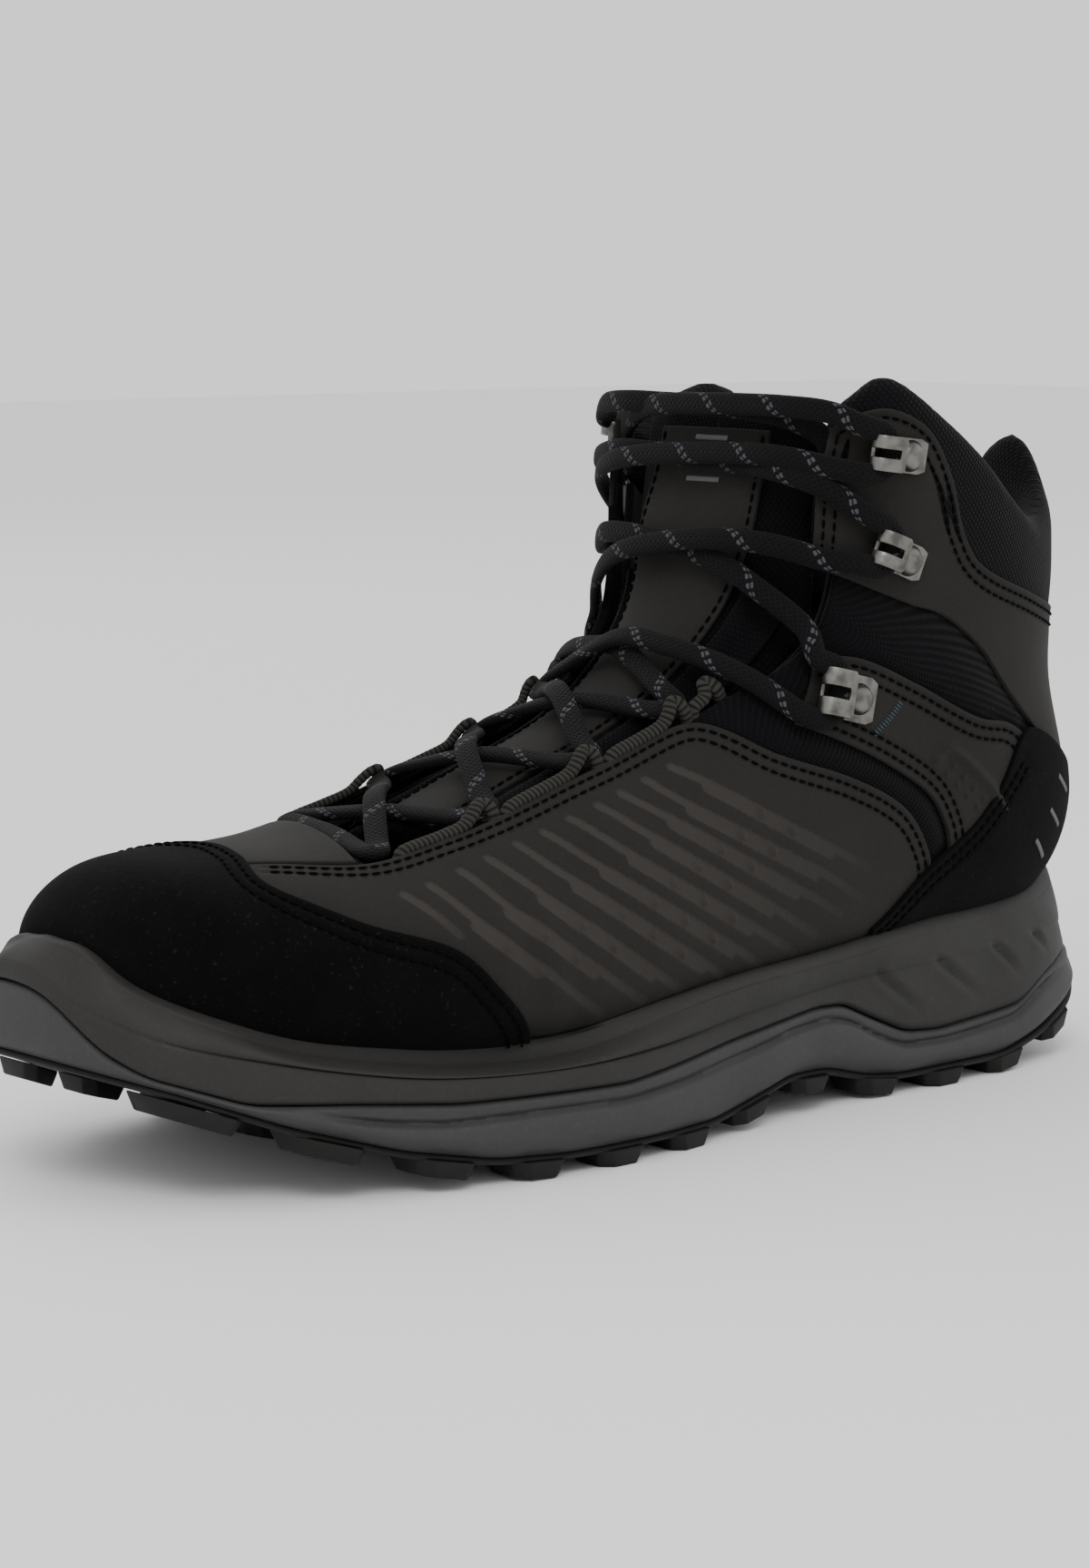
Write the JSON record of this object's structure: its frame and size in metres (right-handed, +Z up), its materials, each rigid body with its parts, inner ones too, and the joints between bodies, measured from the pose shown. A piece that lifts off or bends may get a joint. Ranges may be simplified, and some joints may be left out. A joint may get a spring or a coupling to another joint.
{
  "type": "hiking boot",
  "caption": "Left mid-cut hiking boot: nubuck and suede upper with padded collar and tongue, speed-lace loops, hooks and a lugged sole.",
  "frame": {"origin": "on the ground, at the middle of the boot's length and width", "axes": "+X from toe to heel, -Y to the outer (lateral) side of this left boot, +Z up"},
  "size_m": [0.3046, 0.1151, 0.1691],
  "materials": {
    "nubuck": "nubuck, brushed matte",
    "suede": "suede, matte",
    "mesh": "woven textile",
    "lining": "knitted lining",
    "board": "pressed fibre board",
    "shank": "plain",
    "footbed": "foam faced with textile",
    "midsole": "moulded foam, fine grain",
    "frame": "moulded foam, fine grain",
    "rubber": "moulded, matte",
    "webbing": "ribbed webbing",
    "lace": "braided",
    "metal": "brushed, dulled",
    "tip": "clear-coated tip",
    "stiffener": "thermoplastic sheet"
  },
  "bodies": {
    "boot": {"outsole": "rubber", "midsole_frame": "frame", "midsole": "midsole", "shank": "shank", "strobel_board": "board", "lining_lateral": "lining", "lining_medial": "lining", "mesh_lateral": "mesh", "mesh_medial": "mesh", "toe_puff": "stiffener", "heel_stiffener": "stiffener", "vamp": "nubuck", "toe_cap": "suede", "quarter_lateral": "nubuck", "quarter_medial": "nubuck", "heel_counter": "suede", "ankle_strap_lateral": "nubuck", "ankle_strap_medial": "nubuck", "cuff_lateral": "nubuck", "cuff_medial": "nubuck", "heel_tab": "webbing", "collar_pad": "mesh", "lace": "lace", "aglet_first": "tip", "aglet_second": "tip", "lace_lock_lateral": "metal", "lace_hook_middle_lateral": "metal", "lace_hook_top_lateral": "metal", "rivet_low_lateral": "metal", "rivet_middle_lateral": "metal", "rivet_top_lateral": "metal", "lace_loop_1_lateral": "webbing", "lace_loop_2_lateral": "webbing", "lace_loop_3_lateral": "webbing", "lace_loop_4_lateral": "webbing", "lace_lock_medial": "metal", "lace_hook_middle_medial": "metal", "lace_hook_top_medial": "metal", "rivet_low_medial": "metal", "rivet_middle_medial": "metal", "rivet_top_medial": "metal", "lace_loop_1_medial": "webbing", "lace_loop_2_medial": "webbing", "lace_loop_3_medial": "webbing", "lace_loop_4_medial": "webbing"},
    "tongue": {"tongue_pad": "mesh", "tongue_facing": "nubuck", "gusset_lateral": "mesh", "gusset_medial": "mesh"},
    "insole": {"footbed": "footbed"}
  },
  "joints": [
    {"name": "tongue_fold", "type": "hinge", "parent": "boot", "child": "tongue", "pos_m": [-0.0545, 0, 0.0682], "axis": [0, 1, 0], "range_deg": [0, 12], "stiffness_Nm_per_rad": 0.15},
    {"name": "footbed_lift", "type": "hinge", "parent": "boot", "child": "insole", "pos_m": [-0.129, 0.0087, 0.0456], "axis": [0, -1, 0], "range_deg": [0, 8]}
  ]
}
